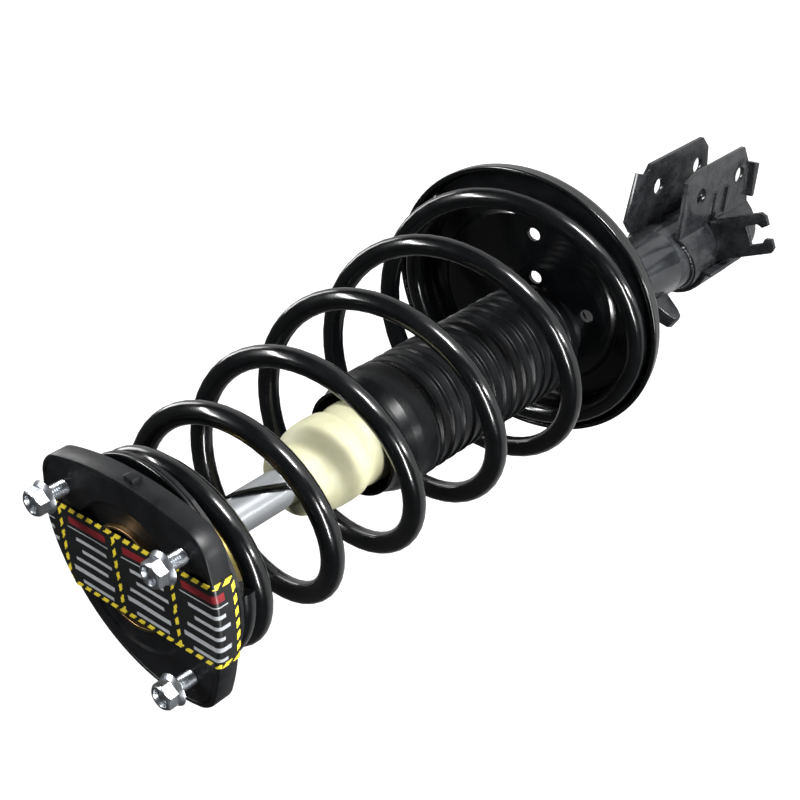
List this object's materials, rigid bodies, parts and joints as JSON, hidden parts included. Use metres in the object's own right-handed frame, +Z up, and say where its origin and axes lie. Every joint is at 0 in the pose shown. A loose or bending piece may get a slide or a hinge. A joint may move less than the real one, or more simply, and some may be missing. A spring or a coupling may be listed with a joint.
{
  "type": "suspension strut assembly",
  "caption": "Complete front suspension strut: damper tube with knuckle bracket, tapered coil spring, bump stop, dust boot and three-stud top mount.",
  "frame": {"origin": "centre of the damper tube's flat bottom end, on the tube's axis", "axes": "+Z up the damper's axis to the top mount, +X along the knuckle bracket's ears"},
  "size_m": [0.187, 0.1873, 0.5856],
  "materials": {
    "black_paint": "gloss black powder coat",
    "bracket_paint": "satin charcoal paint",
    "black_rubber": "matt black rubber",
    "zinc": "bright zinc plate",
    "yellow_zinc": "yellow zinc plate",
    "chrome": "polished hard chrome",
    "plain_steel": "oiled machined steel",
    "cream_foam": "cream microcellular urethane",
    "black_nylon": "moulded black nylon",
    "label_film": "printed black film with coloured bars"
  },
  "bodies": {
    "strut_body": {"strut_tube": "black_paint", "tube_end_cap": "plain_steel", "base_valve": "plain_steel", "pressure_cylinder": "plain_steel", "rod_guide": "plain_steel", "rod_seal": "black_rubber", "tube_cap": "plain_steel", "lower_spring_seat": "black_paint", "seat_support": "black_paint", "lower_insulator": "black_rubber", "coil_spring": "black_paint", "dust_boot": "black_rubber", "knuckle_bracket": "bracket_paint", "bracket_reinforcement": "bracket_paint", "hose_hook": "bracket_paint", "hose_lug": "bracket_paint"},
    "bump_stop": {"bump_stop": "cream_foam"},
    "upper_seat": {"upper_spring_seat": "black_paint", "upper_insulator": "black_rubber", "seat_cup": "yellow_zinc", "bearing_lower_race": "plain_steel", "bump_plate": "plain_steel", "piston_rod": "chrome", "piston": "plain_steel", "rebound_stop": "black_nylon", "rod_washer": "zinc", "rod_nut": "zinc"},
    "ball_cage": {"ball_cage": "black_nylon"},
    "mount": {"mount_body": "black_rubber", "mount_plate": "plain_steel", "mount_collar": "yellow_zinc", "mount_bush": "black_rubber", "stud_1": "zinc", "stud_2": "zinc", "stud_3": "zinc", "flange_nut_1": "zinc", "flange_nut_2": "zinc", "flange_nut_3": "zinc", "bearing_upper_race": "plain_steel", "label_band": "label_film"}
  },
  "joints": [
    {"name": "strut_compress", "type": "slide", "parent": "strut_body", "child": "upper_seat", "axis": [0, 0, -1], "range_m": [0, 0.1], "stiffness_N_per_m": 25000, "deforming": ["coil_spring"]},
    {"name": "stop_follow", "type": "slide", "parent": "strut_body", "child": "bump_stop", "axis": [0, 0, -1], "range_m": [0, 0.022]},
    {"name": "steer_swivel", "type": "hinge", "parent": "upper_seat", "child": "mount", "pos_m": [0, 0, 0.541], "axis": [0, 0, 1], "continuous": true},
    {"name": "cage_follow", "type": "hinge", "parent": "upper_seat", "child": "ball_cage", "pos_m": [0, 0, 0.541], "axis": [0, 0, 1], "continuous": true}
  ],
  "couplings": [
    {"joint": "stop_follow", "follows": "strut_compress", "ratio": 0.22},
    {"joint": "cage_follow", "follows": "steer_swivel", "ratio": 0.5}
  ]
}
